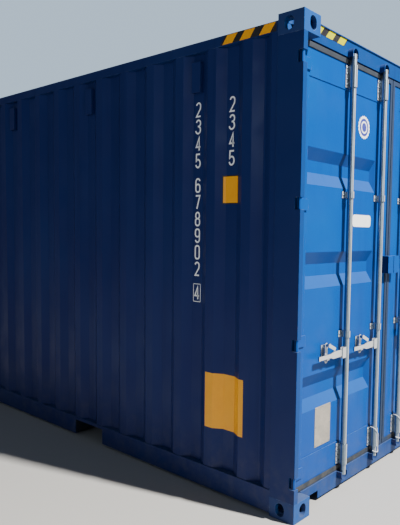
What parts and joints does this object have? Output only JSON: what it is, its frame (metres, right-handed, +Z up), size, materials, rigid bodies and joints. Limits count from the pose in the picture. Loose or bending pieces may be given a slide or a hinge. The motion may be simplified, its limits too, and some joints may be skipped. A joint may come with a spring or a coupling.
{
  "type": "shipping container",
  "caption": "High cube steel freight container with corrugated walls, corner castings, fork pockets and two hinged end doors with turning lock bars.",
  "frame": {"origin": "on the ground under the middle of the box", "axes": "+Z up, +Y along the box from the door end to the closed front end, +X across it; the doors face -Y"},
  "size_m": [2.438, 6.058, 2.896],
  "materials": {
    "frame_paint": "worn satin paint with rust at edges",
    "casting_paint": "painted cast steel, worn",
    "wall_paint": "worn satin paint",
    "base_paint": "dark underside coating",
    "door_paint": "worn satin paint",
    "gasket_rubber": "weathered rubber",
    "gear_zinc": "dull galvanised",
    "floor_wood": "plywood"
  },
  "bodies": {
    "box": {"casting_door_left_bottom": "casting_paint", "casting_door_right_bottom": "casting_paint", "casting_front_left_bottom": "casting_paint", "casting_front_right_bottom": "casting_paint", "casting_door_left_top": "casting_paint", "casting_door_right_top": "casting_paint", "casting_front_left_top": "casting_paint", "casting_front_right_top": "casting_paint", "door_post_left": "frame_paint", "door_post_right": "frame_paint", "front_post_left": "frame_paint", "front_post_right": "frame_paint", "top_rail_left": "frame_paint", "top_rail_right": "frame_paint", "bottom_rail_left": "frame_paint", "bottom_rail_right": "frame_paint", "door_header": "frame_paint", "door_sill": "frame_paint", "front_top_rail": "frame_paint", "front_bottom_rail": "frame_paint", "left_wall": "wall_paint", "right_wall": "wall_paint", "front_wall": "wall_paint", "roof": "wall_paint", "floor_boards": "floor_wood", "cross_members": "base_paint", "fork_pockets": "base_paint", "ventilators": "wall_paint", "cam_keepers": "frame_paint", "hinge_pins": "gear_zinc"},
    "left_door": {"left_door_frame": "door_paint", "left_door_panel": "door_paint", "left_door_gasket": "gasket_rubber", "left_door_hinges": "door_paint", "left_door_brackets": "gear_zinc", "left_lock_box": "door_paint"},
    "right_door": {"right_door_frame": "door_paint", "right_door_panel": "door_paint", "right_door_gasket": "gasket_rubber", "right_door_hinges": "door_paint", "right_door_brackets": "gear_zinc", "right_lock_box": "door_paint"},
    "left_outer_bar": {"left_outer_bar": "gear_zinc"},
    "left_outer_handle": {"left_outer_handle": "gear_zinc"},
    "left_outer_catch": {"left_outer_catch": "gear_zinc"},
    "left_inner_bar": {"left_inner_bar": "gear_zinc"},
    "left_inner_handle": {"left_inner_handle": "gear_zinc"},
    "left_inner_catch": {"left_inner_catch": "gear_zinc"},
    "right_outer_bar": {"right_outer_bar": "gear_zinc"},
    "right_outer_handle": {"right_outer_handle": "gear_zinc"},
    "right_outer_catch": {"right_outer_catch": "gear_zinc"},
    "right_inner_bar": {"right_inner_bar": "gear_zinc"},
    "right_inner_handle": {"right_inner_handle": "gear_zinc"},
    "right_inner_catch": {"right_inner_catch": "gear_zinc"}
  },
  "joints": [
    {"name": "left_door_hinge", "type": "hinge", "parent": "box", "child": "left_door", "pos_m": [-1.2, -3.01, 1.441], "axis": [0, 0, 1], "range_deg": [-267, 0]},
    {"name": "right_door_hinge", "type": "hinge", "parent": "box", "child": "right_door", "pos_m": [1.2, -3.01, 1.441], "axis": [0, 0, -1], "range_deg": [-267, 0]},
    {"name": "left_outer_bar_turn", "type": "hinge", "parent": "left_door", "child": "left_outer_bar", "pos_m": [-0.611, -2.989, 1.45], "axis": [0, 0, 1], "range_deg": [0, 100]},
    {"name": "left_outer_handle_lift", "type": "hinge", "parent": "left_outer_bar", "child": "left_outer_handle", "pos_m": [-0.655, -2.989, 0.915], "axis": [0, 1, 0], "range_deg": [0, 12]},
    {"name": "left_outer_catch_swing", "type": "hinge", "parent": "left_door", "child": "left_outer_catch", "pos_m": [-0.833, -3.001, 0.986], "axis": [0, 1, 0], "range_deg": [0, 65]},
    {"name": "left_inner_bar_turn", "type": "hinge", "parent": "left_door", "child": "left_inner_bar", "pos_m": [-0.186, -2.989, 1.45], "axis": [0, 0, 1], "range_deg": [0, 100]},
    {"name": "left_inner_handle_lift", "type": "hinge", "parent": "left_inner_bar", "child": "left_inner_handle", "pos_m": [-0.23, -2.989, 0.915], "axis": [0, 1, 0], "range_deg": [0, 12]},
    {"name": "left_inner_catch_swing", "type": "hinge", "parent": "left_door", "child": "left_inner_catch", "pos_m": [-0.408, -3.001, 0.986], "axis": [0, 1, 0], "range_deg": [0, 65]},
    {"name": "right_outer_bar_turn", "type": "hinge", "parent": "right_door", "child": "right_outer_bar", "pos_m": [0.611, -2.989, 1.45], "axis": [0, 0, -1], "range_deg": [0, 100]},
    {"name": "right_outer_handle_lift", "type": "hinge", "parent": "right_outer_bar", "child": "right_outer_handle", "pos_m": [0.655, -2.989, 0.915], "axis": [0, -1, 0], "range_deg": [0, 12]},
    {"name": "right_outer_catch_swing", "type": "hinge", "parent": "right_door", "child": "right_outer_catch", "pos_m": [0.833, -3.001, 0.986], "axis": [0, -1, 0], "range_deg": [0, 65]},
    {"name": "right_inner_bar_turn", "type": "hinge", "parent": "right_door", "child": "right_inner_bar", "pos_m": [0.186, -2.989, 1.45], "axis": [0, 0, -1], "range_deg": [0, 100]},
    {"name": "right_inner_handle_lift", "type": "hinge", "parent": "right_inner_bar", "child": "right_inner_handle", "pos_m": [0.23, -2.989, 0.915], "axis": [0, -1, 0], "range_deg": [0, 12]},
    {"name": "right_inner_catch_swing", "type": "hinge", "parent": "right_door", "child": "right_inner_catch", "pos_m": [0.408, -3.001, 0.986], "axis": [0, -1, 0], "range_deg": [0, 65]}
  ]
}
